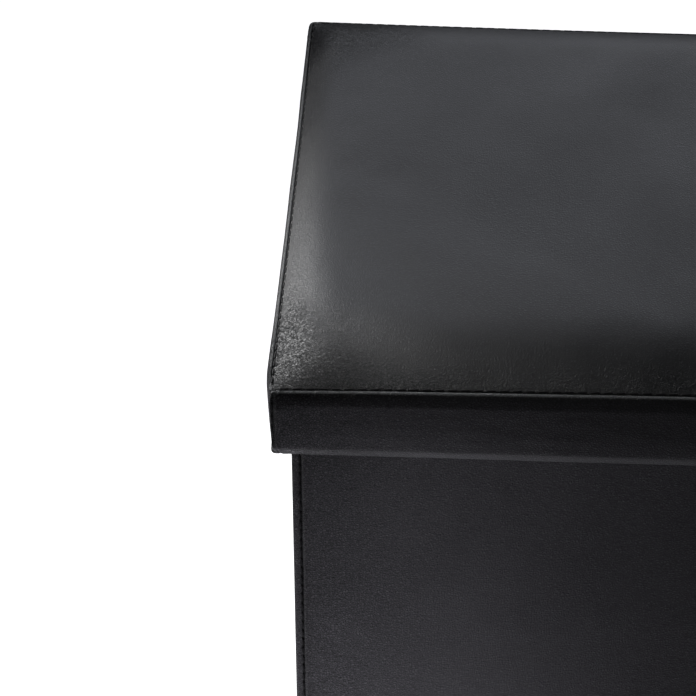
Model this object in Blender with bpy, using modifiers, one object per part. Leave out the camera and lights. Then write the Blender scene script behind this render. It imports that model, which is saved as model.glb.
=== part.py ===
"""Folding storage ottoman: leather-covered panels with end walls that fold inwards, and a lift-off padded lid.

Frame: metres, +Z up, origin at the centre of the footprint on the floor, width along X, front towards -Y.
"""

import math

import bmesh
import bpy
from mathutils import Matrix

# Driving dimensions
LID_WIDTH = 0.760
LID_DEPTH = 0.380
HEIGHT = 0.380
LID_SEAM_HEIGHT = 0.365
LID_HEM_HEIGHT = 0.3195
LID_SEAM_INSET = 0.0035
LID_HEM_INSET = 0.0045
BODY_INSET = 0.0140
BODY_HEIGHT = 0.3375

# Sheet and panel thicknesses
LEATHER = 0.0012
CLOTH = 0.0008
WALL_BOARD = 0.005
LID_BOARD = 0.006
STIFFENER = 0.003
BOTTOM_BOARD = 0.003
GAP = 0.0003

# Details
BOARD_BEVEL = 0.0004
FOLD_CLEARANCE = 0.0005
RIM_TURN_IN = 0.026
BOTTOM_INSET = 0.001
CROWN_SHOULDER = 0.060
CROWN_POWER = 2.4
CROWN_CELLS_X = 20
CROWN_CELLS_Y = 16

LEATHER_BLACK = (0.014, 0.014, 0.016, 1.0)
CLOTH_BLACK = (0.022, 0.022, 0.024, 1.0)
FIBREBOARD = (0.42, 0.29, 0.17, 1.0)
FOAM_CREAM = (0.80, 0.74, 0.58, 1.0)

# Insets of each layer from the lid's and the walls' outer faces
STIFFENER_OUTER = LID_HEM_INSET + LEATHER + GAP
STIFFENER_INNER = STIFFENER_OUTER + STIFFENER
SKIRT_INNER = STIFFENER_INNER + GAP + LEATHER
BOARD_OUTER = LEATHER + GAP
BOARD_INNER = BOARD_OUTER + WALL_BOARD
LINING_OUTER = BOARD_INNER + GAP
WALL_THICKNESS = LINING_OUTER + CLOTH

# Half sizes, as (along X, along Y)
LID_HALF = (LID_WIDTH / 2, LID_DEPTH / 2)
BODY_HALF = tuple(half - BODY_INSET for half in LID_HALF)
INNER_HALF = tuple(half - WALL_THICKNESS for half in BODY_HALF)

# Heights
BOTTOM_BOARD_Z = CLOTH + GAP
BOTTOM_LINING_Z = BOTTOM_BOARD_Z + BOTTOM_BOARD + GAP
WALL_Z = BOTTOM_LINING_Z + CLOTH + GAP
LID_LINING_Z = BODY_HEIGHT + GAP
LID_BOARD_Z = LID_LINING_Z + CLOTH + GAP
FOAM_Z = LID_BOARD_Z + LID_BOARD + GAP

# Fold axes: at the corners on the walls' inner faces, and half-way along the end walls on their outer faces
CORNER_AXIS_X = INNER_HALF[0]
CORNER_AXIS_Y = INNER_HALF[1] - FOLD_CLEARANCE
MIDDLE_AXIS_X = BODY_HALF[0] + FOLD_CLEARANCE

# Quarter turns from the right side, and the axis that each side's length runs along
SIDES = {"right": 0, "back": 1, "left": 2, "front": 3}


def material(name, colour, roughness):
    made = bpy.data.materials.new(name)
    made.use_nodes = True
    shader = made.node_tree.nodes["Principled BSDF"]
    shader.inputs["Base Color"].default_value = colour
    shader.inputs["Roughness"].default_value = roughness
    shader.inputs["Metallic"].default_value = 0.0
    return made


def finish(obj, name, finish_material, collection):
    """Names an object, gives it its material and moves it into the ottoman's collection."""
    obj.name = name
    obj.data.name = name
    obj.data.materials.clear()
    obj.data.materials.append(finish_material)
    for old in list(obj.users_collection):
        old.objects.unlink(obj)
    collection.objects.link(obj)
    return obj


def panel(name, half, low, high, finish_material, collection, bevel=0.0):
    """A level board or sheet, centred on the origin, between two heights."""
    bpy.ops.mesh.primitive_cube_add(size=1, location=(0.0, 0.0, (low + high) / 2))
    obj = bpy.context.active_object
    obj.scale = (2 * half[0], 2 * half[1], high - low)
    bpy.ops.object.transform_apply(location=False, rotation=False, scale=True)
    if bevel:
        edge = obj.modifiers.new("edges", "BEVEL")
        edge.width = bevel
        edge.segments = 1
    return finish(obj, name, finish_material, collection)


def strip(name, outline, side, face, length, finish_material, collection, along=0.0):
    """A closed outline of (inset from the face, height), extruded along one side of the plan."""
    curve = bpy.data.curves.new(name, "CURVE")
    curve.dimensions = "2D"
    curve.fill_mode = "BOTH"
    curve.extrude = length / 2
    spline = curve.splines.new("POLY")
    spline.points.add(len(outline) - 1)
    for point, (inset, height) in zip(spline.points, outline):
        point.co = (face - inset, height, 0.0, 1.0)
    spline.use_cyclic_u = True
    obj = bpy.data.objects.new(name, curve)
    obj.rotation_euler = (math.radians(90), 0.0, math.radians(90 * SIDES[side]))
    obj.location.y = along
    bpy.context.scene.collection.objects.link(obj)
    return finish(obj, name, finish_material, collection)


def across(side):
    """0 for the sides that face along X, 1 for those that face along Y."""
    return SIDES[side] % 2


def skirt_outline():
    """The lid skirt: leather that bulges over the foam's edge, turns under the stiffener and up inside it."""
    bulge = [
        (LID_HEM_INSET, LID_HEM_HEIGHT + 0.0010),
        (LID_HEM_INSET - 0.0010, LID_HEM_HEIGHT + 0.006),
        (LID_HEM_INSET - 0.0022, LID_HEM_HEIGHT + 0.016),
        (LID_HEM_INSET - 0.0036, LID_HEM_HEIGHT + 0.027),
        (0.0, LID_HEM_HEIGHT + 0.036),
        (0.0008, LID_SEAM_HEIGHT - 0.0055),
        (LID_SEAM_INSET, LID_SEAM_HEIGHT - LEATHER - GAP),
    ]
    inside = [(inset + LEATHER, height) for inset, height in reversed(bulge[1:])]
    turn_under = [
        (STIFFENER_OUTER - GAP, LID_HEM_HEIGHT + LEATHER),
        (STIFFENER_INNER + GAP, LID_HEM_HEIGHT + LEATHER),
        (STIFFENER_INNER + GAP, BODY_HEIGHT),
        (SKIRT_INNER, BODY_HEIGHT),
        (SKIRT_INNER, LID_HEM_HEIGHT + 0.0006),
        (SKIRT_INNER - 0.0006, LID_HEM_HEIGHT),
        (LID_HEM_INSET + 0.0010, LID_HEM_HEIGHT),
    ]
    return bulge + inside + turn_under


def wall_outline():
    """A wall's leather: the outer sheet, turned over the top rim and down inside it."""
    rim_bottom = BODY_HEIGHT - RIM_TURN_IN
    return [
        (0.0, WALL_Z),
        (0.0, BODY_HEIGHT - 0.0012),
        (0.0012, BODY_HEIGHT),
        (WALL_THICKNESS - 0.0010, BODY_HEIGHT),
        (WALL_THICKNESS, BODY_HEIGHT - 0.0010),
        (WALL_THICKNESS, rim_bottom),
        (LINING_OUTER, rim_bottom),
        (LINING_OUTER, BODY_HEIGHT - LEATHER),
        (LEATHER, BODY_HEIGHT - LEATHER),
        (LEATHER, WALL_Z),
    ]


def rectangle(near, far, low, high):
    return [(near, low), (near, high), (far, high), (far, low)]


def shoulder(distance):
    """Share of the crown's full height at a distance from the seam."""
    return 1.0 - (1.0 - min(max(distance, 0.0) / CROWN_SHOULDER, 1.0)) ** CROWN_POWER


def crowned_slab(name, half, seam_height, underside, finish_material, collection):
    """A slab with a crowned top; underside turns the height of the top into that of the bottom."""
    rise = HEIGHT - LID_SEAM_HEIGHT
    mesh = bmesh.new()
    bmesh.ops.create_grid(mesh, x_segments=CROWN_CELLS_X, y_segments=CROWN_CELLS_Y, size=1.0)
    for vertex in mesh.verts:
        # The cells are closer together towards the seams, where the crown curves most.
        vertex.co.x = half[0] * math.sin(vertex.co.x * math.pi / 2)
        vertex.co.y = half[1] * math.sin(vertex.co.y * math.pi / 2)
        lift = shoulder(half[0] - abs(vertex.co.x)) * shoulder(half[1] - abs(vertex.co.y))
        vertex.co.z = seam_height + rise * lift
    grown = bmesh.ops.extrude_face_region(mesh, geom=mesh.faces[:])
    for item in grown["geom"]:
        if isinstance(item, bmesh.types.BMVert):
            item.co.z = underside(item.co.z)
    bmesh.ops.recalc_face_normals(mesh, faces=mesh.faces[:])
    data = bpy.data.meshes.new(name)
    mesh.to_mesh(data)
    mesh.free()
    obj = bpy.data.objects.new(name, data)
    bpy.context.scene.collection.objects.link(obj)
    return finish(obj, name, finish_material, collection)


def make_lid(leather, cloth, board, foam, collection):
    top_half = [half - LID_SEAM_INSET for half in LID_HALF]
    foam_half = [half - LEATHER - GAP for half in top_half]
    board_half = [half - STIFFENER_INNER - GAP for half in LID_HALF]
    lining_half = [half - SKIRT_INNER for half in LID_HALF]
    foam_top = LID_SEAM_HEIGHT - LEATHER - GAP
    pieces = [
        crowned_slab(
            "lid_top_leather", top_half, LID_SEAM_HEIGHT, lambda top: top - LEATHER, leather, collection
        ),
        crowned_slab("lid_foam_pad", foam_half, foam_top, lambda top: FOAM_Z, foam, collection),
        panel(
            "lid_board", board_half, LID_BOARD_Z, LID_BOARD_Z + LID_BOARD, board, collection, BOARD_BEVEL
        ),
        panel(
            "lid_underside_lining", lining_half, LID_LINING_Z, LID_LINING_Z + CLOTH, cloth, collection
        ),
    ]
    stiffener = rectangle(
        STIFFENER_OUTER, STIFFENER_INNER, LID_HEM_HEIGHT + LEATHER + GAP, LID_BOARD_Z + LID_BOARD
    )
    for side in SIDES:
        # The skirts at the ends run the full depth, and the long ones fit between them.
        face = LID_HALF[across(side)]
        length = 2 * LID_HALF[0] - 2 * (SKIRT_INNER + GAP) if across(side) else 2 * LID_HALF[1]
        pieces.append(
            strip(f"lid_skirt_{side}", skirt_outline(), side, face, length, leather, collection)
        )
        stiffener_length = length - (0.0 if across(side) else 2 * STIFFENER_INNER)
        pieces.append(
            strip(f"lid_skirt_stiffener_{side}", stiffener, side, face, stiffener_length, board, collection)
        )
    return pieces


def make_wall(name, side, length, along, leather, cloth, board, collection):
    """One flat wall panel: its leather, its board and its cloth lining."""
    face = BODY_HALF[across(side)]
    rim_bottom = BODY_HEIGHT - RIM_TURN_IN
    board_outline = rectangle(BOARD_OUTER, BOARD_INNER, WALL_Z, BODY_HEIGHT - LEATHER - GAP)
    lining_outline = rectangle(LINING_OUTER, WALL_THICKNESS, WALL_Z, rim_bottom - GAP)
    return [
        strip(f"{name}_leather", wall_outline(), side, face, length, leather, collection, along),
        strip(f"{name}_board", board_outline, side, face, length, board, collection, along),
        strip(f"{name}_lining", lining_outline, side, face, length, cloth, collection, along),
    ]


def make_bottom(cloth, board, collection):
    half = [size - BOTTOM_INSET for size in BODY_HALF]
    return [
        panel("bottom_underside_cloth", half, 0.0, CLOTH, cloth, collection),
        panel("bottom_board", half, BOTTOM_BOARD_Z, BOTTOM_BOARD_Z + BOTTOM_BOARD, board, collection),
        panel("bottom_lining", half, BOTTOM_LINING_Z, BOTTOM_LINING_Z + CLOTH, cloth, collection),
    ]


def pivot(name, location, pieces, parent, collection):
    """An empty on a joint's axis that carries its pieces."""
    empty = bpy.data.objects.new(name, None)
    empty.location = location
    collection.objects.link(empty)
    if parent:
        empty.location = [own - other for own, other in zip(location, parent["place"])]
        empty.parent = parent
    empty["place"] = location
    for piece in pieces:
        piece.parent = empty
        piece.matrix_parent_inverse = Matrix.Translation(location).inverted()
    return empty


def main():
    for obj in list(bpy.data.objects):
        bpy.data.objects.remove(obj, do_unlink=True)
    collection = bpy.data.collections.new("storage_ottoman")
    bpy.context.scene.collection.children.link(collection)
    leather = material("faux_leather", LEATHER_BLACK, 0.45)
    cloth = material("non_woven_cloth", CLOTH_BLACK, 0.9)
    board = material("fibreboard", FIBREBOARD, 0.8)
    foam = material("foam", FOAM_CREAM, 0.95)
    covers = (leather, cloth, board, collection)

    base_pieces = make_bottom(cloth, board, collection)
    base_pieces += make_wall("back_wall", "back", 2 * BODY_HALF[0], 0.0, *covers)
    base = pivot("base_origin", (0.0, 0.0, 0.0), base_pieces, None, collection)

    lid_pieces = make_lid(leather, cloth, board, foam, collection)
    pivot("lid_origin", (0.0, 0.0, LID_LINING_Z), lid_pieces, base, collection)

    # Each half of an end wall reaches from its corner axis to the fold in the middle.
    half_length = CORNER_AXIS_Y - 2 * GAP
    half_middle = CORNER_AXIS_Y / 2
    front_halves = {}
    for side, sign in (("left", -1), ("right", 1)):
        rear = make_wall(f"{side}_rear_wall", side, half_length, half_middle, *covers)
        corner = (sign * CORNER_AXIS_X, CORNER_AXIS_Y, WALL_Z)
        rear_pivot = pivot(f"{side}_rear_fold_axis", corner, rear, base, collection)
        front = make_wall(f"{side}_front_wall", side, half_length, -half_middle, *covers)
        middle = (sign * MIDDLE_AXIS_X, 0.0, WALL_Z)
        front_halves[side] = pivot(f"{side}_middle_fold_axis", middle, front, rear_pivot, collection)

    front_pieces = make_wall("front_wall", "front", 2 * BODY_HALF[0], 0.0, *covers)
    corner = (-CORNER_AXIS_X, -CORNER_AXIS_Y, WALL_Z)
    pivot("front_corner_fold_axis", corner, front_pieces, front_halves["left"], collection)


main()
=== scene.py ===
"""Looks of the folding storage ottoman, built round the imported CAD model.

Metres, +Z up, front towards -Y. Every piece's object sits at the origin, so its object coordinates are
those of the frame.
"""

import math

import bmesh
import bpy
import numpy as np
from mathutils import Matrix, Vector, noise


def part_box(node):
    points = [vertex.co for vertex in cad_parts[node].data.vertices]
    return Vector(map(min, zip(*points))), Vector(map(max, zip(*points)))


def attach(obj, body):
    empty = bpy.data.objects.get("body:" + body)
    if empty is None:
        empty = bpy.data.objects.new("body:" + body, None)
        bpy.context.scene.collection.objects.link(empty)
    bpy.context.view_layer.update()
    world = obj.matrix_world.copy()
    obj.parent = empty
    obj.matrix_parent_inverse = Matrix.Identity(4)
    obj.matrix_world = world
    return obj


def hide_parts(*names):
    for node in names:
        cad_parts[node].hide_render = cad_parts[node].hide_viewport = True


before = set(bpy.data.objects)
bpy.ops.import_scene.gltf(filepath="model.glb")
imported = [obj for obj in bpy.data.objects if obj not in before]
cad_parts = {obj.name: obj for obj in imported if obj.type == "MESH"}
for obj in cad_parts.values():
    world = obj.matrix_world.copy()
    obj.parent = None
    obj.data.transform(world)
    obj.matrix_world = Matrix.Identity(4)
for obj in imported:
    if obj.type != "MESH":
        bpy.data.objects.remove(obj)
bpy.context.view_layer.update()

LEATHER = 0.0012

# Places that come from the frame
HALF_X = -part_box("lid_skirt_left")[0].x
HALF_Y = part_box("lid_skirt_left")[1].y
HEM_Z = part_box("lid_skirt_left")[0].z
TOP_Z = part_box("lid_top_leather")[1].z
SEAM_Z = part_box("lid_top_leather")[0].z + LEATHER
SEAM_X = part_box("lid_top_leather")[1].x
SEAM_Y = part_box("lid_top_leather")[1].y
SEAM_INSET = HALF_X - SEAM_X
BOARD_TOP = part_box("lid_board")[1].z
RIM_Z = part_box("front_wall_leather")[1].z
RIM_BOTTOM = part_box("front_wall_lining")[1].z
WALL_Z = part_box("front_wall_leather")[0].z
SKIRT_INNER = HALF_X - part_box("lid_underside_lining")[1].x
BODY_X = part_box("front_wall_leather")[1].x
BODY_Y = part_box("back_wall_leather")[1].y

# Camera: its place from the lid's front left seam corner, its turn and its lens
CAMERA_FROM_CORNER = Vector((0.1180, -1.2828, 1.0436))
CAMERA_YAW = math.radians(3.35)
CAMERA_PITCH = math.radians(38.24)
CAMERA_ROLL = math.radians(0.36)
CAMERA_LENS = 158.0

# Lid: corners, how far its sides draw in, how wide its shoulders are
CORNER_RADIUS = 0.0016
SKIRT_CORNER_RADIUS = 0.0032
CORNER_PARTS = 6
FRONT_PULL = 0.0065
BACK_PULL = 0.0040
SHORT_PULL = 0.0005
HEM_PULL = 0.0012
FRONT_SHOULDER = 0.056
BACK_SHOULDER = 0.046
END_SHOULDER_FRONT = 0.038
END_SHOULDER_BACK = 0.020
SHOULDER_POWER = 2.3
SKIRT_RINGS = 30
GATHER_PITCH = 0.0037

# Walls
WALL_RADIUS = 0.0016
WALL_ROWS = 26
WALL_ARC = [math.radians(angle) for angle in (30, 60)]
LINING_STEP = 0.0008
FOLD_SLIT = 0.00002

# Sheets
SHEET_CELL = 0.018
SHEET_INSET = 0.0003

# Seams and stitches: a lapped seam has a groove beside its stitches, then the folded edge of its lap
STATION_STEP = 0.012
CORNER_SEAM = 0.0047
GROOVE_PLACE = 0.0002
LAP_PLACE = 0.0014
STITCH_LENGTH = 0.0050
STITCH_GAP = 0.0020
STITCH_RADIUS = 0.00054
TOP_STITCH_INSET = 0.0009
TOP_STITCH_RISE = 0.0008
TOP_STITCH_PARTS = 40

# Leather simulation: its cells, its steps, and the cap and share of the ripples that are kept
SIM_CELL = 0.006
SIM_FRAMES = 16
SIM_CAP = 0.0022
SIM_SHARE = 0.15

# Distance from the object in which the floor's glow halves
GLOW_HALVING = 0.075


# Mesh helpers


def new_object(name, mesh_data, material):
    obj = bpy.data.objects.new(name, mesh_data)
    bpy.context.scene.collection.objects.link(obj)
    obj.data.materials.append(material)
    obj.data.shade_smooth()
    return obj


def loft(name, rings, material, join_ends=False):
    """A skin through closed rings with the same number of points; its ends are joined up or capped."""
    mesh = bmesh.new()
    made = [[mesh.verts.new(point) for point in ring] for ring in rings]
    count = len(rings[0])
    pairs = list(zip(made, made[1:]))
    if join_ends:
        pairs.append((made[-1], made[0]))
    for one, two in pairs:
        for index in range(count):
            after = (index + 1) % count
            mesh.faces.new((one[index], one[after], two[after], two[index]))
    if not join_ends:
        mesh.faces.new(made[0])
        mesh.faces.new(made[-1][::-1])
    bmesh.ops.recalc_face_normals(mesh, faces=mesh.faces[:])
    data = bpy.data.meshes.new(name)
    mesh.to_mesh(data)
    mesh.free()
    return new_object(name, data, material)


def subdivide(obj):
    smooth = obj.modifiers.new("smooth", "SUBSURF")
    smooth.levels = smooth.render_levels = 1
    return obj


def set_look(obj, name, amount):
    """Stores at each point how creased the leather is, or how much painted highlight its colour takes."""
    attribute = obj.data.attributes.new(name, "FLOAT", "POINT")
    values = [min(1.0, amount(vertex.co)) for vertex in obj.data.vertices]
    attribute.data.foreach_set("value", values)


def bell(distance, width):
    """1 at no distance, falling off smoothly on both sides."""
    return math.exp(-((distance / width) ** 2))


def seam_relief(distance):
    """Height of a lapped seam at a distance past its stitches."""
    groove = -0.00060 * bell(distance - GROOVE_PLACE, 0.00045)
    return groove + 0.00045 * bell(distance - LAP_PLACE, 0.0007)


def lap_painted_highlight(distance):
    """Painted highlight share on the folded edge of a lapped seam, at a distance past its stitches."""
    return 0.08 * bell(distance - LAP_PLACE, 0.0006)


def stations(half, fine):
    """Evenly spaced places along a length from -half to half, and the fine ones in from both its ends."""
    inner = half - fine[-1] - STATION_STEP / 2
    count = max(2, round(2 * half / 0.05) * 4)
    middle = [-inner + 2 * inner * index / count for index in range(count + 1)]
    ends = [half - place for place in fine]
    return [-place for place in ends] + middle + ends[::-1]


def rounded_rectangle(half_x, half_y, radius, height, lift, puff):
    """Points round a level rectangle, anticlockwise from the front.

    lift(turn, along, half) moves a side's points outwards, and puff(turn, angle) a corner's.
    """
    past_corner = (0.0, 0.0006, 0.0012, 0.0017, 0.0021, 0.0026, 0.0032, 0.0042, 0.007)
    fine_y = [radius, 0.0016 + radius]
    fine_x = [radius + step for step in past_corner]
    points = []
    arc = [math.radians(90 * part / CORNER_PARTS) for part in range(1, CORNER_PARTS)]
    for turn in range(4):
        along_half, out_half = (half_x, half_y) if turn % 2 == 0 else (half_y, half_x)
        fine = fine_x if turn % 2 == 0 else fine_y
        rotation = Matrix.Rotation(math.radians(90 * turn), 2)
        for along in stations(along_half, fine):
            out = out_half + lift(turn, along, along_half)
            points.append(rotation @ Vector((along, -out)))
        for angle in arc:
            reach = radius + puff(turn, angle)
            x = along_half - radius + reach * math.sin(angle)
            y = -(out_half - radius + reach * math.cos(angle))
            points.append(rotation @ Vector((x, y)))
    return [Vector((point.x, point.y, height)) for point in points]


# Materials


def principled(name):
    made = bpy.data.materials.new(name)
    made.use_nodes = True
    tree = made.node_tree
    return made, tree, tree.nodes["Principled BSDF"]


def add_node(tree, kind, inputs=None, **settings):
    node = tree.nodes.new(kind)
    for key, value in settings.items():
        setattr(node, key, value)
    for key, value in (inputs or {}).items():
        if isinstance(value, bpy.types.NodeSocket):
            tree.links.new(value, node.inputs[key])
        else:
            node.inputs[key].default_value = value
    return node


def map_range(tree, value, low, high, to_low, to_high):
    node = add_node(tree, "ShaderNodeMapRange", {0: value, 1: low, 2: high, 3: to_low, 4: to_high})
    return node.outputs[0]


def maths(tree, operation, one, two):
    return add_node(tree, "ShaderNodeMath", {0: one, 1: two}, operation=operation).outputs[0]


def vector_maths(tree, operation, inputs):
    return add_node(tree, "ShaderNodeVectorMath", inputs, operation=operation)


def mix_colour(tree, share, one, two):
    mixed = add_node(tree, "ShaderNodeMix", {0: share, 6: one, 7: two}, data_type="RGBA")
    return mixed.outputs[2]


def leather_material(name, grain, crease_depth, crease_scale, crease_stretch, crease_angle=0.0):
    """Black faux leather with a satin gloss: fine pebbles, and creases where the crease attribute is high."""
    made, tree, shader = principled(name)
    place = add_node(tree, "ShaderNodeTexCoord").outputs["Object"]
    warp = add_node(tree, "ShaderNodeTexNoise", {"Vector": place, "Scale": 260.0, "Detail": 2.0})
    shift = vector_maths(tree, "SCALE", {0: warp.outputs["Color"], "Scale": 0.0012})
    warped = vector_maths(tree, "ADD", {0: place, 1: shift.outputs[0]})
    pebbles = add_node(
        tree,
        "ShaderNodeTexVoronoi",
        {"Vector": warped.outputs[0], "Scale": 640.0, "Randomness": 0.95},
        feature="DISTANCE_TO_EDGE",
    )
    pebble_height = map_range(tree, pebbles.outputs["Distance"], 0.0, 0.42, 0.0, 1.0)
    fine = add_node(
        tree, "ShaderNodeTexNoise", {"Vector": place, "Scale": 1500.0, "Detail": 4.0, "Roughness": 0.6}
    )
    turned = add_node(
        tree,
        "ShaderNodeMapping",
        {"Vector": place, "Rotation": (0.0, 0.0, crease_angle), "Scale": crease_stretch},
    )
    folds = add_node(
        tree,
        "ShaderNodeTexNoise",
        {
            "Vector": turned.outputs[0],
            "Scale": crease_scale,
            "Detail": 4.0,
            "Roughness": 0.55,
            "Distortion": 0.8,
        },
    )
    ridge = maths(tree, "ABSOLUTE", maths(tree, "SUBTRACT", folds.outputs["Fac"], 0.5), 0.0)
    crease = map_range(tree, ridge, 0.0, 0.05, 0.0, 1.0)
    amount = add_node(tree, "ShaderNodeAttribute", attribute_name="crease").outputs["Fac"]
    broad = add_node(tree, "ShaderNodeTexNoise", {"Vector": place, "Scale": 14.0, "Detail": 3.0})

    relief = maths(tree, "ADD", maths(tree, "MULTIPLY", pebble_height, 0.7), fine.outputs["Fac"])
    grain_bump = add_node(
        tree, "ShaderNodeBump", {"Strength": grain, "Distance": 0.00040, "Height": relief}
    )
    crease_strength = map_range(tree, amount, 0.0, 1.0, 0.03, 1.0)
    crease_bump = add_node(
        tree,
        "ShaderNodeBump",
        {
            "Strength": crease_strength,
            "Distance": crease_depth,
            "Height": crease,
            "Normal": grain_bump.outputs[0],
        },
    )
    worn = map_range(tree, broad.outputs["Fac"], 0.3, 0.7, 0.37, 0.45)
    pits = map_range(tree, pebble_height, 0.0, 1.0, 0.06, 0.0)
    tree.links.new(maths(tree, "ADD", worn, pits), shader.inputs["Roughness"])
    # Painted shade: the base colour is darker in the pebble valleys and along the crease lines than on the
    # pebble tops.
    raised = maths(tree, "MULTIPLY", pebble_height, crease)
    tint = mix_colour(tree, raised, (0.0002, 0.0002, 0.0003, 1.0), (0.0034, 0.0033, 0.0046, 1.0))
    # Painted highlight: where the "fold" attribute is high, the colour is mixed towards light grey, standing
    # in for light caught on folded edges and the hem.
    fold = add_node(tree, "ShaderNodeAttribute", attribute_name="fold").outputs["Fac"]
    colour_with_painted_highlight = mix_colour(tree, fold, tint, (0.32, 0.33, 0.34, 1.0))
    tree.links.new(colour_with_painted_highlight, shader.inputs["Base Color"])
    tree.links.new(crease_bump.outputs[0], shader.inputs["Normal"])
    valley_gloss = map_range(tree, amount, 0.0, 1.0, 0.54, 0.14)
    gloss = map_range(tree, raised, 0.0, 1.0, valley_gloss, 0.58)
    tree.links.new(gloss, shader.inputs["Specular IOR Level"])
    return made


def cloth_material(name, colour):
    """Non-woven lining cloth: a faint embossed dot pattern over matted fibres."""
    made, tree, shader = principled(name)
    place = add_node(tree, "ShaderNodeTexCoord").outputs["Object"]
    fibres = add_node(
        tree, "ShaderNodeTexNoise", {"Vector": place, "Scale": 900.0, "Detail": 6.0, "Distortion": 2.0}
    )
    dots = add_node(
        tree, "ShaderNodeTexVoronoi", {"Vector": place, "Scale": 480.0, "Randomness": 0.15}, feature="F1"
    )
    dot_height = map_range(tree, dots.outputs["Distance"], 0.1, 0.5, 0.0, 1.0)
    height = maths(tree, "ADD", fibres.outputs["Fac"], dot_height)
    bump = add_node(tree, "ShaderNodeBump", {"Strength": 0.5, "Distance": 0.0003, "Height": height})
    light = tuple(min(1.0, 1.7 * part) for part in colour)
    tint = mix_colour(tree, fibres.outputs["Fac"], (*colour, 1.0), (*light, 1.0))
    tree.links.new(tint, shader.inputs["Base Color"])
    tree.links.new(bump.outputs[0], shader.inputs["Normal"])
    shader.inputs["Roughness"].default_value = 0.92
    shader.inputs["Sheen Weight"].default_value = 0.15
    return made


def fibreboard_material(name):
    """Raw fibreboard: pressed fibres in slightly uneven brown."""
    made, tree, shader = principled(name)
    place = add_node(tree, "ShaderNodeTexCoord").outputs["Object"]
    fibres = add_node(
        tree, "ShaderNodeTexNoise", {"Vector": place, "Scale": 700.0, "Detail": 8.0, "Roughness": 0.7}
    )
    blotches = add_node(tree, "ShaderNodeTexNoise", {"Vector": place, "Scale": 25.0, "Detail": 3.0})
    mixed = maths(tree, "ADD", maths(tree, "MULTIPLY", blotches.outputs["Fac"], 0.4), fibres.outputs["Fac"])
    share = map_range(tree, mixed, 0.4, 1.0, 0.0, 1.0)
    tint = mix_colour(tree, share, (0.30, 0.19, 0.10, 1.0), (0.47, 0.33, 0.20, 1.0))
    bump = add_node(tree, "ShaderNodeBump", {"Strength": 0.3, "Distance": 0.0002, "Height": mixed})
    tree.links.new(tint, shader.inputs["Base Color"])
    tree.links.new(bump.outputs[0], shader.inputs["Normal"])
    shader.inputs["Roughness"].default_value = 0.82
    return made


def thread_material(name):
    """Black twisted sewing thread."""
    made, tree, shader = principled(name)
    place = add_node(tree, "ShaderNodeTexCoord").outputs["Object"]
    twist = add_node(tree, "ShaderNodeTexNoise", {"Vector": place, "Scale": 3500.0, "Detail": 2.0})
    bump = add_node(
        tree, "ShaderNodeBump", {"Strength": 0.5, "Distance": 0.0001, "Height": twist.outputs["Fac"]}
    )
    tint = mix_colour(tree, twist.outputs["Fac"], (0.002, 0.002, 0.002, 1.0), (0.006, 0.006, 0.007, 1.0))
    tree.links.new(tint, shader.inputs["Base Color"])
    tree.links.new(bump.outputs[0], shader.inputs["Normal"])
    shader.inputs["Roughness"].default_value = 0.75
    shader.inputs["Specular IOR Level"].default_value = 0.25
    return made


# Lid


def crown(x, y):
    """Height of the padded top at a place on it, before its leather is simulated."""
    backward = (y / SEAM_Y + 1) / 2
    end_shoulder = END_SHOULDER_FRONT + (END_SHOULDER_BACK - END_SHOULDER_FRONT) * backward
    across_x = min(max(SEAM_X - abs(x), 0.0) / end_shoulder, 1.0)
    across_y = min(max(SEAM_Y - abs(y), 0.0) / (FRONT_SHOULDER if y < 0 else BACK_SHOULDER), 1.0)
    full = (1 - (1 - across_x) ** SHOULDER_POWER) * (1 - (1 - across_y) ** SHOULDER_POWER)
    dome = 0.93 + 0.07 * (1 - (x / SEAM_X) ** 2) * (1 - (y / SEAM_Y) ** 2)
    return (TOP_Z - SEAM_Z) * full * dome


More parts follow.
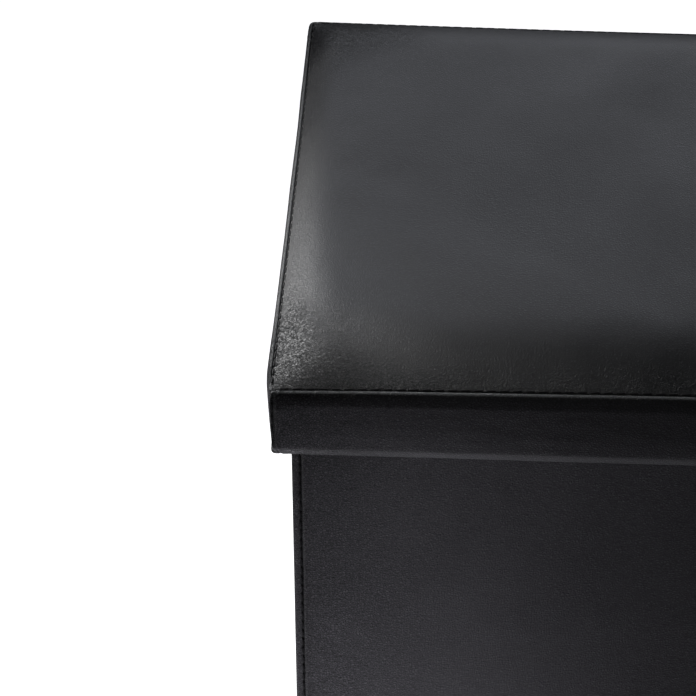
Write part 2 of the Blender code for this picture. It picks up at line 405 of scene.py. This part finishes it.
def simulated_lift():
    """The ripples that leather under slight tension takes over the foam, as a grid of changes in height."""
    cells_x = round(2 * SEAM_X / SIM_CELL)
    cells_y = round(2 * SEAM_Y / SIM_CELL)
    heights = np.zeros((cells_x + 1, cells_y + 1))
    mesh = bmesh.new()
    bmesh.ops.create_grid(mesh, x_segments=cells_x, y_segments=cells_y, size=1.0)
    places = []
    for vertex in mesh.verts:
        column = round((vertex.co.x + 1) / 2 * cells_x)
        row = round((vertex.co.y + 1) / 2 * cells_y)
        places.append((column, row))
        vertex.co.x *= SEAM_X
        vertex.co.y *= SEAM_Y
        ripple = noise.noise(vertex.co * 55.0) * 0.0004
        vertex.co.z = SEAM_Z + crown(vertex.co.x, vertex.co.y) + ripple
    data = bpy.data.meshes.new("leather_sheet")
    mesh.to_mesh(data)
    mesh.free()
    sheet = bpy.data.objects.new("leather_sheet", data)
    bpy.context.scene.collection.objects.link(sheet)
    border = [
        index
        for index, (column, row) in enumerate(places)
        if column in (0, cells_x) or row in (0, cells_y)
    ]
    sheet.vertex_groups.new(name="seam").add(border, 1.0, "REPLACE")
    start = [vertex.co.z for vertex in data.vertices]
    cloth = sheet.modifiers.new("cloth", "CLOTH")
    cloth.settings.vertex_group_mass = "seam"
    cloth.settings.effector_weights.gravity = 0.0
    cloth.settings.use_pressure = True
    cloth.settings.uniform_pressure_force = 0.6
    cloth.settings.shrink_min = -0.012
    cloth.settings.tension_stiffness = 30.0
    cloth.settings.compression_stiffness = 30.0
    cloth.settings.bending_stiffness = 1.5
    cloth.settings.quality = 6
    scene = bpy.context.scene
    for number in range(1, SIM_FRAMES + 1):
        scene.frame_set(number)
    shape = sheet.evaluated_get(bpy.context.evaluated_depsgraph_get()).data
    for (column, row), vertex, before in zip(places, shape.vertices, start):
        heights[column, row] = vertex.co.z - before
    bpy.data.objects.remove(sheet, do_unlink=True)
    scene.frame_set(1)
    # The overall swell is taken off, because the foam under the leather is firm.
    swell = heights.copy()
    for _ in range(40):
        padded = np.pad(swell, 1, mode="edge")
        swell = (padded[:-2, 1:-1] + padded[2:, 1:-1] + padded[1:-1, :-2] + padded[1:-1, 2:]) / 4
    return SIM_SHARE * np.clip(heights - swell, -SIM_CAP, SIM_CAP)


def sample(grid, x, y):
    """Bilinear value of a grid that spans the top."""
    column = np.clip((x + SEAM_X) / (2 * SEAM_X), 0, 1) * (grid.shape[0] - 1)
    row = np.clip((y + SEAM_Y) / (2 * SEAM_Y), 0, 1) * (grid.shape[1] - 1)
    c0, r0 = min(int(column), grid.shape[0] - 2), min(int(row), grid.shape[1] - 2)
    fc, fr = column - c0, row - r0
    low = grid[c0, r0] * (1 - fr) + grid[c0, r0 + 1] * fr
    high = grid[c0 + 1, r0] * (1 - fr) + grid[c0 + 1, r0 + 1] * fr
    return low * (1 - fc) + high * fc


def edge_spaced(half):
    """Places from -half to half that crowd towards both ends, where the leather turns into its seam."""
    near = [0.0, 0.0007, 0.0015, 0.0026, 0.0040, 0.0060, 0.0090, 0.0130, 0.0180, 0.0240, 0.0310]
    step = 0.0075
    inner = half - near[-1] - step
    count = math.ceil(2 * inner / step)
    middle = [-inner + 2 * inner * index / count for index in range(count + 1)]
    ends = [half - place for place in near]
    return [-place for place in ends] + middle + ends[::-1]


def round_corner(x, y):
    """Moves a place near a corner of the top, so that the seam turns it in an arc."""
    reach = 2.5 * CORNER_RADIUS
    along = (abs(x) - (SEAM_X - reach)) / reach
    across = (abs(y) - (SEAM_Y - reach)) / reach
    if along <= 0 or across <= 0:
        return x, y
    new_along = along * math.sqrt(1 - 0.30 * across**2)
    new_across = across * math.sqrt(1 - 0.30 * along**2)
    return (
        math.copysign(SEAM_X - reach + reach * new_along, x),
        math.copysign(SEAM_Y - reach + reach * new_across, y),
    )


def side_pull(sign):
    """How far the middle of the lid's front or back draws in."""
    return FRONT_PULL if sign < 0 else BACK_PULL


def pull_in(share, deepest, rise=1.0):
    """How far a side draws in at a share of the way to its corner, at its hem (rise 0) up to its seam (1)."""
    depth = HEM_PULL + (deepest - HEM_PULL) * rise**1.5
    return depth * (1 - min(1.0, abs(share)) ** 2)


def lid_cushion(material):
    """The padded top: crowned leather that tucks into its seam, closed below on the lid's board."""
    lift = simulated_lift()
    columns, rows = edge_spaced(SEAM_X), edge_spaced(SEAM_Y)
    mesh = bmesh.new()
    crease = mesh.verts.layers.float.new("crease")
    grid = []
    for x in columns:
        line = []
        for y in rows:
            edge = min(SEAM_X - abs(x), SEAM_Y - abs(y))
            corner = math.hypot(SEAM_X - abs(x), SEAM_Y - abs(y))
            tuck = -0.0003 * math.exp(-edge / 0.0009)
            pucker = 0.00028 * math.exp(-edge / 0.008) * noise.noise(Vector((x * 95, y * 95, 3.0)))
            soft = 0.0007 * noise.noise(Vector((x * 9, y * 9, 1.0)))
            height = SEAM_Z + crown(x, y) + tuck + pucker + soft * min(1.0, edge / 0.03)
            height += sample(lift, x, y) * min(1.0, edge / 0.004)
            drawn_x = x * (1 - pull_in(y / SEAM_Y, SHORT_PULL) / SEAM_X)
            drawn_y = y * (1 - pull_in(x / SEAM_X, side_pull(y)) / SEAM_Y)
            round_x, round_y = round_corner(x, y)
            place = (drawn_x + round_x - x, drawn_y + round_y - y, min(height, TOP_Z + 0.001))
            vertex = mesh.verts.new(place)
            vertex[crease] = min(
                1.0,
                0.90 * math.exp(-((corner / 0.055) ** 2))
                + 0.25 * math.exp(-((edge / 0.018) ** 2))
                + 0.03,
            )
            line.append(vertex)
        grid.append(line)
    for one, two in zip(grid, grid[1:]):
        for index in range(len(rows) - 1):
            mesh.faces.new((one[index], two[index], two[index + 1], one[index + 1]))
    below = bmesh.ops.extrude_face_region(mesh, geom=mesh.faces[:])["geom"]
    for item in below:
        if isinstance(item, bmesh.types.BMVert):
            item.co.x *= (SEAM_X - 0.002) / SEAM_X
            item.co.y *= (SEAM_Y - 0.002) / SEAM_Y
            item.co.z = BOARD_TOP + 0.0004
    bmesh.ops.recalc_face_normals(mesh, faces=mesh.faces[:])
    data = bpy.data.meshes.new("lid_cushion")
    mesh.to_mesh(data)
    mesh.free()
    cushion = subdivide(new_object("lid_cushion", data, material))
    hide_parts("lid_top_leather", "lid_foam_pad")
    return cushion


def skirt_face():
    """The skirt's outside between its upper fold and its hem, as (inset, height)."""
    keys = [
        (0.0005, SEAM_Z - 0.0046),
        (0.0000, SEAM_Z - 0.0080),
        (0.0001, SEAM_Z - 0.0120),
        (0.0003, SEAM_Z - 0.0180),
        (0.0007, SEAM_Z - 0.0280),
        (0.0012, HEM_Z + 0.0090),
        (0.0014, HEM_Z + 0.0066),
    ]
    insets, heights = zip(*reversed(keys))
    places = np.linspace(heights[-1], heights[0], SKIRT_RINGS)
    return [(float(np.interp(place, heights, insets)), float(place)) for place in places]


def skirt_profile():
    """Closed section of the skirt as (inset, height), down its outside from the seam and up its inside."""
    lip = SEAM_INSET
    upper = [
        (lip + 0.0010, SEAM_Z - 0.0030),
        (lip + 0.0002, SEAM_Z - 0.0010),
        (lip - 0.0001, SEAM_Z + 0.0001),
        (lip - 0.0007, SEAM_Z + 0.0004),
        (lip - 0.0011, SEAM_Z + 0.0002),
        (lip - 0.0020, SEAM_Z - 0.0007),
        (lip - 0.0026, SEAM_Z - 0.0024),
    ]
    hem = [
        (0.0016, HEM_Z + 0.0058),
        (0.0019, HEM_Z + 0.0052),
        (0.0028, HEM_Z + 0.0028),
        (0.0036, HEM_Z + 0.0007),
        (0.0042, HEM_Z + 0.0001),
        (0.0066, HEM_Z),
    ]
    inside = [
        (0.0090, HEM_Z + 0.0004),
        (0.0101, HEM_Z + 0.0016),
        (SKIRT_INNER, HEM_Z + 0.0035),
        (SKIRT_INNER, RIM_Z - 0.0010),
        (SKIRT_INNER - 0.0010, RIM_Z),
    ]
    return upper, skirt_face(), hem, inside


def skirt_crease(co):
    return 0.30 + 0.7 * bell(HALF_X - abs(co.x), 0.06) * bell(HALF_Y - abs(co.y), 0.06)


def skirt_painted_highlight(co):
    """Painted highlight share of the skirt at a place: upper fold, corner seams, hem, gathered corners."""
    near_end = bell(HALF_X - abs(co.x), 0.08)
    # Painted highlight along the lip of the upper fold, weaker on the short sides and away from the ends.
    lip = bell(co.z - SEAM_Z - 0.0002, 0.0004) * (0.45 if noise.noise(co * 240) > -0.25 else 0.2)
    lip *= (0.3 if abs(co.x) > SEAM_X else 1.0) * (0.70 + 0.30 * near_end)
    # Painted highlight on the folded edge of each corner seam's lap.
    seam = lap_painted_highlight(HALF_X - abs(co.x) - CORNER_SEAM) if abs(co.y) > HALF_Y - 0.006 else 0.0
    # Painted reflection of the floor along the hem's roll, stronger near the ends.
    hem = bell(co.z - HEM_Z - 0.0030, 0.0024) * (0.07 + 0.09 * near_end)
    # Painted highlight streaks across the gathered folds at the corners.
    gathered = bell(HALF_X - abs(co.x), 0.0042) * bell(HALF_Y - abs(co.y), 0.01)
    painted_streak_highlight = 0.15 * gathered * max(0.0, math.sin(2 * math.pi * co.z / GATHER_PITCH + co.x * 900))
    return max(lip, seam, hem, painted_streak_highlight * bell(co.z - HEM_Z - 0.023, 0.022))


def lid_skirt(material):
    """The four sides of the lid in one band, with a lapped seam beside each corner."""
    rings = []
    upper, face, hem, inside = skirt_profile()
    outside = upper + face + hem
    for index, (inset, height) in enumerate(outside + inside):
        radius = max(0.0008, SKIRT_CORNER_RADIUS - 0.3 * inset)
        shown = 1.0 if 2 <= index < len(outside) else 0.0
        facing = bell(height - (SEAM_Z + HEM_Z) / 2 + 0.002, 0.022) * shown
        rise = (height - HEM_Z) / (SEAM_Z - HEM_Z) if index < len(outside) else 0.0

        def fold(turn, across, height=height, facing=facing):
            """Diagonal folds where the leather is gathered into the corner's seam."""
            wander = noise.noise(Vector((height * 160, 5.0 * turn, 0.0)))
            phase = height / GATHER_PITCH + across + 0.5 * wander
            return facing * 0.00048 * math.sin(2 * math.pi * phase) * (0.6 + 0.4 * wander)

        def puff(turn, angle, fold=fold):
            return fold(turn, angle / math.pi)

        def lift(turn, along, half, height=height, shown=shown, rise=rise, fold=fold):
            deepest = SHORT_PULL if turn % 2 else side_pull(turn - 1)
            pull = pull_in(along / half, deepest, max(0.0, rise))
            seed = Vector((along * 11, height * 30, 7.0 * turn))
            wave = 0.0005 * noise.noise(seed) + 0.00018 * noise.noise(seed * 6)
            from_end = half - abs(along)
            relief = 0.0 if turn % 2 else seam_relief(from_end - CORNER_SEAM)
            relief += 0.0005 * bell(height - SEAM_Z + 0.0105, 0.0009) * bell(from_end, 0.012)
            gathered = fold(turn, from_end / 0.014) * bell(from_end, 0.004 if turn % 2 == 0 else 0.012)
            return shown * (relief + wave * min(1.0, from_end / 0.02)) + gathered - pull

        rings.append(rounded_rectangle(HALF_X - inset, HALF_Y - inset, radius, height, lift, puff))
    band = loft("lid_skirt", rings, material, join_ends=True)
    set_look(band, "crease", skirt_crease)
    # The "fold" attribute holds the share of painted highlight in the skirt's colour.
    set_look(band, "fold", skirt_painted_highlight)
    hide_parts(*(f"lid_skirt_{side}" for side in ("left", "right", "front", "back")))
    return subdivide(band)


# Stitches


def stitch_shape():
    """Points and faces of one stitch: a thin rounded run of thread along Z."""
    mesh = bmesh.new()
    bmesh.ops.create_uvsphere(mesh, u_segments=8, v_segments=7, radius=STITCH_RADIUS)
    for vertex in mesh.verts:
        vertex.co.z += math.copysign(STITCH_LENGTH / 2 - STITCH_RADIUS, vertex.co.z)
    points = np.array([vertex.co for vertex in mesh.verts])
    faces = [[vertex.index for vertex in face.verts] for face in mesh.faces]
    mesh.free()
    return points, faces


def stitch_rows(name, paths, material):
    """One piece of thread dashes along paths, each a list of points."""
    shape, shape_faces = stitch_shape()
    points, faces = [], []
    for path in paths:
        line = np.array(path)
        steps = np.linalg.norm(np.diff(line, axis=0), axis=1)
        reached = np.concatenate([[0.0], np.cumsum(steps)])
        count = max(1, int(reached[-1] / (STITCH_LENGTH + STITCH_GAP)))
        for index in range(count):
            ends = [reached[-1] * (index + share) / count for share in (0.2, 0.5, 0.8)]
            before, centre, after = (
                np.array([np.interp(end, reached, line[:, axis]) for axis in range(3)]) for end in ends
            )
            direction = Vector(after - before).normalized()
            turn = np.array(Vector((0, 0, 1)).rotation_difference(direction).to_matrix())
            offset = len(points) * len(shape)
            faces += [[offset + corner for corner in face] for face in shape_faces]
            points.append(shape @ turn.T + centre)
    data = bpy.data.meshes.new(name)
    data.from_pydata(np.concatenate(points), [], faces)
    return new_object(name, data, material)


def lid_stitches(thread):
    """Stitches round the top beside its seam, and down the lapped corner seams of the front and back."""
    start = CORNER_RADIUS + 0.0030
    height = SEAM_Z + TOP_STITCH_RISE
    shares = [2 * part / TOP_STITCH_PARTS - 1 for part in range(TOP_STITCH_PARTS + 1)]
    paths = []
    for sign in (-1, 1):
        long_side, short_side = [], []
        for share in shares:
            y = SEAM_Y - TOP_STITCH_INSET - pull_in(share, side_pull(sign))
            x = SEAM_X - TOP_STITCH_INSET - pull_in(share, SHORT_PULL)
            long_side.append((share * (SEAM_X - start), sign * y, height))
            short_side.append((sign * x, share * (SEAM_Y - start), height))
        paths += [long_side, short_side]
        for end in (-1, 1):
            along = end * (HALF_X - CORNER_SEAM)
            paths.append([(along, sign * (HALF_Y - inset), z) for inset, z in skirt_face()])
    return stitch_rows("lid_stitches", paths, thread)


def wall_stitches(name, sign, thread):
    """The rows of stitches down the lapped seams of the front (-1) or back (1) wall."""
    y = sign * (BODY_Y - 0.0001)
    rows = []
    for end in (-1, 1):
        x = end * (BODY_X - CORNER_SEAM + 0.0004)
        rows.append([(x, y, WALL_Z + 0.004), (x, y, RIM_Z - 0.004)])
    return stitch_rows(f"{name}_stitches", rows, thread)


# Walls


def wall_section(near, far, low, high, lift):
    """Closed section of a wall's leather as (inset, height), rounded, with a step inside for the lining."""
    radius, tight = WALL_RADIUS, 0.3 * WALL_RADIUS
    heights = [low + radius + (high - low - 2 * radius) * row / WALL_ROWS for row in range(WALL_ROWS + 1)]
    points = [(near - lift(height), height) for height in heights]
    arc = [(1 - math.cos(angle), 1 - math.sin(angle)) for angle in WALL_ARC]
    points += [(near + radius * one, high - radius * two) for one, two in arc]
    points += [(far - radius * two, high - radius * one) for one, two in arc]
    points += [(far, high - radius), (far, RIM_BOTTOM + 0.0006)]
    far -= LINING_STEP
    points += [(far, RIM_BOTTOM + 0.0002), (far, RIM_BOTTOM - 0.01), (far, low + radius)]
    points += [(far - tight * one, low + tight * two) for one, two in arc]
    points += [(near + radius * two, low + radius * one) for one, two in arc]
    return points


def wall_place(side, along, inset, height):
    """Turns a place on a wall into the frame: along it, in from its outer face, and up."""
    if side in ("front", "back"):
        return Vector((along, (BODY_Y - inset) * (-1 if side == "front" else 1), height))
    return Vector(((BODY_X - inset) * (-1 if side == "left" else 1), along, height))


def wall_cover(name, side, material):
    """A wall's leather, drawn tight over its board; front and back have a lapped seam near each end."""
    low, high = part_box(f"{name}_leather")
    across = 0 if side in ("front", "back") else 1
    start, end = low[across] - 0.0002, high[across] + 0.0002
    thickness = (high - low)[1 - across]
    lapped = across == 0
    if not lapped:
        start, end = (start, -FOLD_SLIT) if name.endswith("front_wall") else (FOLD_SLIT, end)
    middle, half = (start + end) / 2, (end - start) / 2
    radius = WALL_RADIUS

    def face_lift(along, height):
        seed = Vector((along * 8, height * 8, 11.0 + middle))
        soft = 0.0004 * noise.noise(seed) + 0.00012 * noise.noise(seed * 7)
        edge = half - abs(along - middle)
        fade = min(1.0, max(0.0, edge - radius) / 0.015) * min(1.0, max(0.0, RIM_Z - height) / 0.02)
        relief = seam_relief(edge - CORNER_SEAM) if lapped else 0.0
        return min(0.0005, soft * fade + relief)

    fine = [radius, 0.0030, 0.0040, 0.0046, 0.0050, 0.0054, 0.0058, 0.0064, 0.0072, 0.0085, 0.0120]
    if not lapped:
        fine = [radius, 0.0040, 0.0090]
    rounded_end = [(0.0, radius), (radius * 0.14, radius * 0.5), (radius * 0.5, radius * 0.14)]
    rings = [(start + depth, shrink) for depth, shrink in rounded_end]
    rings += [(middle + place, 0.0) for place in stations(half, fine)]
    rings += [(end - depth, shrink) for depth, shrink in reversed(rounded_end)]
    loops = []
    for along, shrink in rings:
        section = wall_section(
            shrink * 0.99,
            thickness - shrink * 0.1 - 0.0001,
            WALL_Z + shrink * 0.1 - 0.0003,
            RIM_Z - shrink * 0.99,
            lambda height: face_lift(along, height) if shrink == 0.0 else 0.0,
        )
        loops.append([wall_place(side, along, inset, height) for inset, height in section])
    wall = loft(f"{name}_cover", loops, material)
    ends = [start, end] if lapped else [start if name.endswith("front_wall") else end]

    def wall_crease(co):
        return 0.40 + 0.45 * max(bell(co[across] - place, 0.055) for place in ends)

    # Painted highlight on the folded edge of the lapped seams near each end.
    def wall_painted_highlight(co):
        return max(lap_painted_highlight(abs(co.x - place) - CORNER_SEAM) for place in ends)

    set_look(wall, "crease", wall_crease)
    if lapped:
        # The "fold" attribute holds the share of painted highlight in the wall's colour.
        set_look(wall, "fold", wall_painted_highlight)
    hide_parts(f"{name}_leather")
    return wall


def flat_sheet(name, low, high, axis, material):
    """A thin lining sheet with slight ripples, across the axis it is thin along."""
    spans = [index for index in range(3) if index != axis]
    flat = [high[index] - low[index] - 2 * SHEET_INSET for index in spans]
    counts = [max(4, math.ceil(length / SHEET_CELL)) for length in flat]
    mesh = bmesh.new()
    rows = []
    middle = (low[axis] + high[axis]) / 2
    half = (high[axis] - low[axis]) / 2
    for one in range(counts[0] + 1):
        row = []
        for two in range(counts[1] + 1):
            place = [middle] * 3
            for index, length, part, count in zip(spans, flat, (one, two), counts):
                place[index] = low[index] + SHEET_INSET + length * part / count
            row.append(mesh.verts.new(place))
        rows.append(row)
    for one, two in zip(rows, rows[1:]):
        for index in range(counts[1]):
            mesh.faces.new((one[index], two[index], two[index + 1], one[index + 1]))
    bmesh.ops.recalc_face_normals(mesh, faces=mesh.faces[:])
    for vertex in mesh.verts:
        ripple = noise.noise(vertex.co * 14) * 0.4 + noise.noise(vertex.co * 60) * 0.2
        vertex.co[axis] += ripple * half * 0.5
    data = bpy.data.meshes.new(name)
    mesh.to_mesh(data)
    mesh.free()
    obj = new_object(name, data, material)
    thick = obj.modifiers.new("thickness", "SOLIDIFY")
    thick.thickness = half * 1.1
    thick.offset = 0.0
    return obj


def lining(node, body, material):
    low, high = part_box(node)
    axis = min(range(3), key=lambda index: high[index] - low[index])
    obj = flat_sheet(f"{node}_sheet", low, high, axis, material)
    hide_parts(node)
    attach(obj, body)


# Stage


def add_light(name, place, target, size, strength, colour=(1.0, 1.0, 1.0)):
    """A soft box that faces a target; strength is its brightness, whatever its size."""
    light = bpy.data.lights.new(name, "AREA")
    light.shape = "RECTANGLE"
    light.size, light.size_y = size
    light.energy = strength * math.pi * size[0] * size[1]
    light.color = colour
    obj = bpy.data.objects.new(name, light)
    obj.location = place
    obj.rotation_euler = (Vector(target) - Vector(place)).to_track_quat("-Z", "Y").to_euler()
    obj.visible_camera = False
    bpy.context.scene.collection.objects.link(obj)


def floor_plane(name, size, height):
    bpy.ops.mesh.primitive_plane_add(size=size, location=(0.0, 0.0, height))
    plane = bpy.context.active_object
    plane.name = name
    return plane


def make_stage():
    """A white floor, a glow just under it that only reflections show, the world and three soft boxes."""
    floor = floor_plane("floor", 60.0, 0.0)
    white, _, shader = principled("white_floor")
    shader.inputs["Base Color"].default_value = (0.85, 0.85, 0.85, 1.0)
    shader.inputs["Roughness"].default_value = 0.9
    shader.inputs["Emission Color"].default_value = (1.0, 1.0, 1.0, 1.0)
    shader.inputs["Emission Strength"].default_value = 0.88
    floor.data.materials.append(white)
    floor.visible_glossy = False

    glow = floor_plane("floor_glow", 8.0, -0.0005)
    lit = bpy.data.materials.new("floor_glow")
    lit.use_nodes = True
    tree = lit.node_tree
    tree.nodes.clear()
    place = add_node(tree, "ShaderNodeTexCoord").outputs["Object"]
    size = vector_maths(tree, "ABSOLUTE", {0: place}).outputs[0]
    over = vector_maths(tree, "SUBTRACT", {0: size, 1: (HALF_X, HALF_Y, 0.0)}).outputs[0]
    clear = vector_maths(tree, "MAXIMUM", {0: over, 1: (0.0, 0.0, 0.0)}).outputs[0]
    distance = vector_maths(tree, "LENGTH", {0: clear}).outputs["Value"]
    fading = maths(tree, "POWER", 0.5, maths(tree, "DIVIDE", distance, GLOW_HALVING))
    sideways = add_node(tree, "ShaderNodeSeparateXYZ", {0: place}).outputs["X"]
    brighter_left = map_range(tree, sideways, -0.45, -0.15, 4.5, 0.45)
    fall = maths(tree, "MULTIPLY", fading, brighter_left)
    glowing = add_node(tree, "ShaderNodeEmission", {"Color": (0.99, 0.96, 1.08, 1.0), "Strength": fall})
    output = add_node(tree, "ShaderNodeOutputMaterial")
    tree.links.new(glowing.outputs[0], output.inputs["Surface"])
    glow.data.materials.append(lit)
    glow.visible_camera = False
    glow.visible_shadow = False
    glow.visible_diffuse = False

    world = bpy.data.worlds.new("studio")
    world.use_nodes = True
    world.node_tree.nodes["Background"].inputs["Color"].default_value = (0.9, 0.95, 1.0, 1.0)
    world.node_tree.nodes["Background"].inputs["Strength"].default_value = 0.03
    bpy.context.scene.world = world

    middle = (0.0, 0.0, SEAM_Z)
    add_light("back_panel", (0.0, 2.25, 1.37), middle, (3.8, 1.3), 1.42, (0.93, 0.96, 1.05))
    add_light("front_panel", (0.0, -2.60, 0.95), middle, (3.6, 1.2), 0.3)
    add_light("left_box", (-0.59, 0.03, 0.58), (-HALF_X, -HALF_Y, SEAM_Z), (0.15, 0.46), 16.5)


def make_camera():
    corner = Vector((-SEAM_X, -SEAM_Y, SEAM_Z))
    camera = bpy.data.objects.new("camera", bpy.data.cameras.new("camera"))
    camera.data.lens = CAMERA_LENS
    camera.data.sensor_width = 36.0
    yaw, pitch, roll = CAMERA_YAW, CAMERA_PITCH, CAMERA_ROLL
    forward = Vector((-math.sin(yaw) * math.cos(pitch), math.cos(yaw) * math.cos(pitch), -math.sin(pitch)))
    right = Vector((math.cos(yaw), math.sin(yaw), 0.0))
    down = forward.cross(right)
    right_rolled = right * math.cos(roll) + down * math.sin(roll)
    down_rolled = down * math.cos(roll) - right * math.sin(roll)
    axes = Matrix((right_rolled, -down_rolled, -forward)).transposed()
    camera.matrix_world = Matrix.Translation(corner + CAMERA_FROM_CORNER) @ axes.to_4x4()
    bpy.context.scene.collection.objects.link(camera)
    bpy.context.scene.camera = camera


def main():
    bpy.context.scene.view_settings.view_transform = "Standard"
    make_camera()
    make_stage()
    top_leather = leather_material(
        "leather_top", 0.35, 0.0013, 420.0, (1.0, 1.9, 1.0), math.radians(-40)
    )
    skirt_leather = leather_material("leather_skirt", 0.90, 0.0020, 330.0, (0.8, 0.8, 1.8))
    wall_leather = leather_material("leather_walls", 0.90, 0.0020, 290.0, (0.7, 0.7, 2.2))
    cloth = cloth_material("lining_cloth", (0.020, 0.020, 0.022))
    board = fibreboard_material("fibreboard")
    thread = thread_material("thread")

    for piece in (lid_cushion(top_leather), lid_skirt(skirt_leather), lid_stitches(thread)):
        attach(piece, "lid")

    walls = [("front_wall", "front"), ("back_wall", "back")]
    walls += [(f"{side}_{half}_wall", side) for side in ("left", "right") for half in ("rear", "front")]
    for name, side in walls:
        body = "base" if name == "back_wall" else name
        pieces = [wall_cover(name, side, wall_leather)]
        lining(f"{name}_lining", body, cloth)
        if side in ("front", "back"):
            pieces.append(wall_stitches(name, -1 if side == "front" else 1, thread))
        for piece in pieces:
            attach(piece, body)
    lining("bottom_lining", "base", cloth)
    lining("bottom_underside_cloth", "base", cloth)
    lining("lid_underside_lining", "lid", cloth)

    for name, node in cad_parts.items():
        if not node.hide_render:
            node.data.materials.clear()
            node.data.materials.append(cloth if name == "bottom_board" else board)


main()
